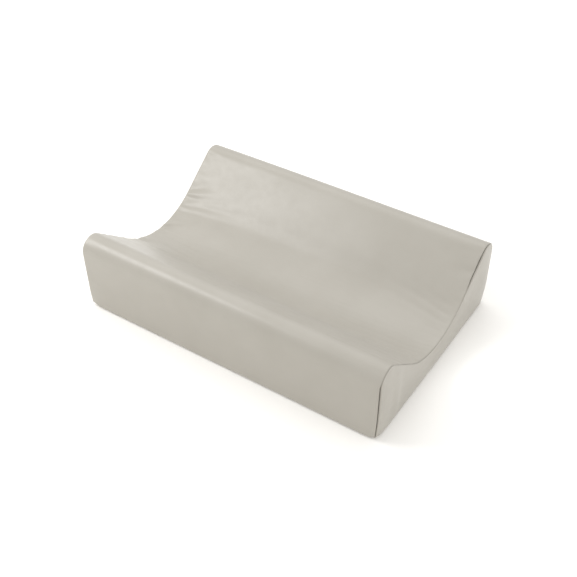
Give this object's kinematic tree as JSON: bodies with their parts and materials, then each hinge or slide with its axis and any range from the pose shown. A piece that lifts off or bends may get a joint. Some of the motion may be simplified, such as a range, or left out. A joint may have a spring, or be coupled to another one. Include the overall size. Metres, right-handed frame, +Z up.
{
  "type": "changing pad",
  "caption": "Contoured changing pad: a foam block with a trough along its length, in a sewn, zipped cover of wipe-clean coated cloth.",
  "frame": {"origin": "middle of the underside, on the surface that the pad lies on", "axes": "+X along the pad towards the end where the zip closes, +Y towards the back wall that holds the zip, +Z up"},
  "size_m": [0.7106, 0.484, 0.171],
  "materials": {
    "foam": "open-cell polyurethane foam",
    "cover_cloth": "satin polyurethane coating on knitted cloth",
    "seam_thread": "spun polyester thread",
    "zip_tape": "woven polyester tape",
    "zip_coil": "nylon monofilament",
    "zip_metal": "baked enamel on die-cast zinc",
    "label_ribbon": "satin ribbon"
  },
  "bodies": {
    "pad": {"foam_core": "foam", "cover_wrap": "cover_cloth", "end_panel_left": "cover_cloth", "end_panel_right": "cover_cloth", "base_panel": "cover_cloth", "rear_strip": "cover_cloth", "end_seam_thread_left": "seam_thread", "end_seam_thread_right": "seam_thread", "base_seam_thread": "seam_thread", "zip_tape_upper": "zip_tape", "zip_tape_lower": "zip_tape", "zip_coil_upper": "zip_coil", "zip_coil_lower": "zip_coil", "zip_bottom_stop": "zip_metal", "zip_top_stops": "zip_metal", "topstitch_upper": "seam_thread", "topstitch_lower": "seam_thread", "care_label": "label_ribbon"},
    "slider": {"zip_slider": "zip_metal"},
    "pull": {"zip_pull": "zip_metal"}
  },
  "joints": [
    {"name": "zip_slide", "type": "slide", "parent": "pad", "child": "slider", "axis": [-1, 0, 0], "range_m": [0, 0.6239]},
    {"name": "pull_swing", "type": "hinge", "parent": "slider", "child": "pull", "pos_m": [0.31195, 0.2423, 0.04], "axis": [0, 0, -1], "range_deg": [0, 180]}
  ]
}
